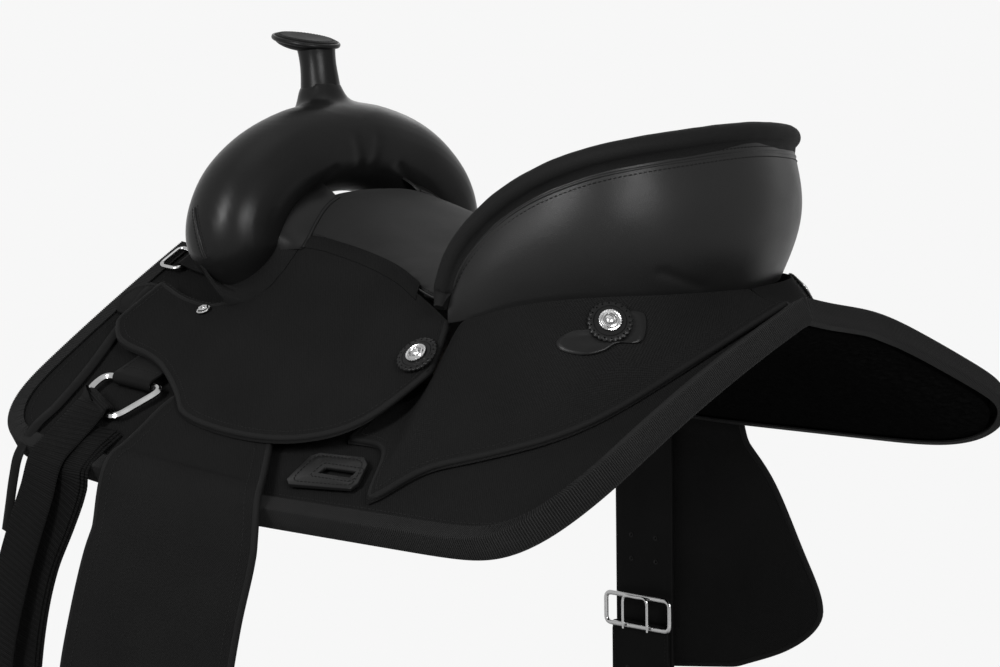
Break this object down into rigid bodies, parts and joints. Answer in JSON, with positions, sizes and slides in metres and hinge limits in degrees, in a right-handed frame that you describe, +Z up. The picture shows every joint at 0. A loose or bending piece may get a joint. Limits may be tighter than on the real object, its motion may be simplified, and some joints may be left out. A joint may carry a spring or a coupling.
{
  "type": "western saddle",
  "caption": "Western riding saddle with a horned swell, high cantle, woven skirts, fenders with buckled stirrup leathers, stirrups and rigging dees.",
  "frame": {"origin": "on the horse's back line, under the middle of the seat and 108 mm below it", "axes": "+X to the saddle's left, which is the near side, +Y towards the horse's tail, +Z up"},
  "size_m": [0.718, 0.6766, 0.9317],
  "materials": {
    "leather": "smooth black saddle leather, satin",
    "suede": "charcoal soft seat leather, matt",
    "cordura": "black woven synthetic cloth, matt",
    "grosgrain": "black ribbed binding tape",
    "fleece": "black synthetic fleece",
    "webbing": "black ribbed nylon webbing",
    "chrome": "polished chrome plate",
    "tree_wood": "bare sealed wood"
  },
  "bodies": {
    "saddle": {"cantle_back": "leather", "cantle_board": "tree_wood", "cantle_roll": "cordura", "horn_cap": "leather", "horn_core": "chrome", "horn_neck": "leather", "near_breast_tab": "leather", "near_dee_chape": "leather", "near_fender_top": "cordura", "near_fleece": "fleece", "near_fork_screw": "chrome", "near_jockey_concho": "chrome", "near_jockey_rosette": "leather", "near_latigo_keeper": "leather", "near_leather_top": "leather", "near_rear_binding": "grosgrain", "near_rear_jockey": "cordura", "near_rear_plate": "leather", "near_seat_jockey": "cordura", "near_skirt": "cordura", "near_string_concho": "chrome", "near_string_rosette": "leather", "near_tree_bar": "tree_wood", "off_breast_tab": "leather", "off_dee_chape": "leather", "off_fender_top": "cordura", "off_fleece": "fleece", "off_fork_screw": "chrome", "off_jockey_concho": "chrome", "off_jockey_rosette": "leather", "off_leather_top": "leather", "off_rear_binding": "grosgrain", "off_rear_jockey": "cordura", "off_rear_plate": "leather", "off_seat_jockey": "cordura", "off_skirt": "cordura", "off_string_concho": "chrome", "off_string_rosette": "leather", "off_tree_bar": "tree_wood", "seat_pad": "suede", "swell_cover": "leather", "tree_fork": "tree_wood"},
    "near_fender_body": {"near_fender": "cordura", "near_stirrup_leather": "leather", "near_buckle_frame": "chrome"},
    "near_stirrup_body": {"near_stirrup": "leather", "near_stirrup_pin": "chrome"},
    "near_tongues_body": {"near_buckle_tongues": "chrome"},
    "near_dee_body": {"near_front_dee": "chrome"},
    "near_breast_dee_body": {"near_breast_dee": "chrome"},
    "off_fender_body": {"off_fender": "cordura", "off_stirrup_leather": "leather", "off_buckle_frame": "chrome"},
    "off_stirrup_body": {"off_stirrup": "leather", "off_stirrup_pin": "chrome"},
    "off_tongues_body": {"off_buckle_tongues": "chrome"},
    "off_dee_body": {"off_front_dee": "chrome"},
    "off_breast_dee_body": {"off_breast_dee": "chrome"},
    "near_latigo_body": {"near_latigo": "webbing", "near_latigo_fold": "webbing"}
  },
  "joints": [
    {"name": "near_fender_swing", "type": "hinge", "parent": "saddle", "child": "near_fender_body", "pos_m": [0.3504, -0.1, -0.0874], "axis": [0, -1, 0], "range_deg": [0, 80]},
    {"name": "near_stirrup_swing", "type": "hinge", "parent": "near_fender_body", "child": "near_stirrup_body", "pos_m": [0.334, -0.1, -0.47], "axis": [0, 1, 0], "range_deg": [-50, 50]},
    {"name": "near_tongues_lift", "type": "hinge", "parent": "near_fender_body", "child": "near_tongues_body", "pos_m": [0.3255, -0.1, -0.262], "axis": [0, 1, 0], "range_deg": [0, 90]},
    {"name": "near_dee_lift", "type": "hinge", "parent": "saddle", "child": "near_dee_body", "pos_m": [0.249, -0.209, 0.01797], "axis": [0.0635, -0.9916, 0.1131], "range_deg": [0, 80]},
    {"name": "near_breast_dee_lift", "type": "hinge", "parent": "saddle", "child": "near_breast_dee_body", "pos_m": [0.108, -0.296, 0.11082], "axis": [-0.8805, 0, 0.474], "range_deg": [0, 90]},
    {"name": "off_fender_swing", "type": "hinge", "parent": "saddle", "child": "off_fender_body", "pos_m": [-0.3504, -0.1, -0.0874], "axis": [0, 1, 0], "range_deg": [0, 80]},
    {"name": "off_stirrup_swing", "type": "hinge", "parent": "off_fender_body", "child": "off_stirrup_body", "pos_m": [-0.334, -0.1, -0.47], "axis": [0, 1, 0], "range_deg": [-50, 50]},
    {"name": "off_tongues_lift", "type": "hinge", "parent": "off_fender_body", "child": "off_tongues_body", "pos_m": [-0.3255, -0.1, -0.262], "axis": [0, -1, 0], "range_deg": [0, 90]},
    {"name": "off_dee_lift", "type": "hinge", "parent": "saddle", "child": "off_dee_body", "pos_m": [-0.249, -0.209, 0.02715], "axis": [0.0665, 0.9919, -0.1079], "range_deg": [0, 80]},
    {"name": "off_breast_dee_lift", "type": "hinge", "parent": "saddle", "child": "off_breast_dee_body", "pos_m": [-0.108, -0.296, 0.12432], "axis": [-0.909, 0, -0.4167], "range_deg": [0, 90]},
    {"name": "near_latigo_swing", "type": "hinge", "parent": "near_dee_body", "child": "near_latigo_body", "pos_m": [0.28314, -0.21792, 0.00014], "axis": [-0.2726, -0.9172, 0.2906], "range_deg": [0, 60]}
  ]
}
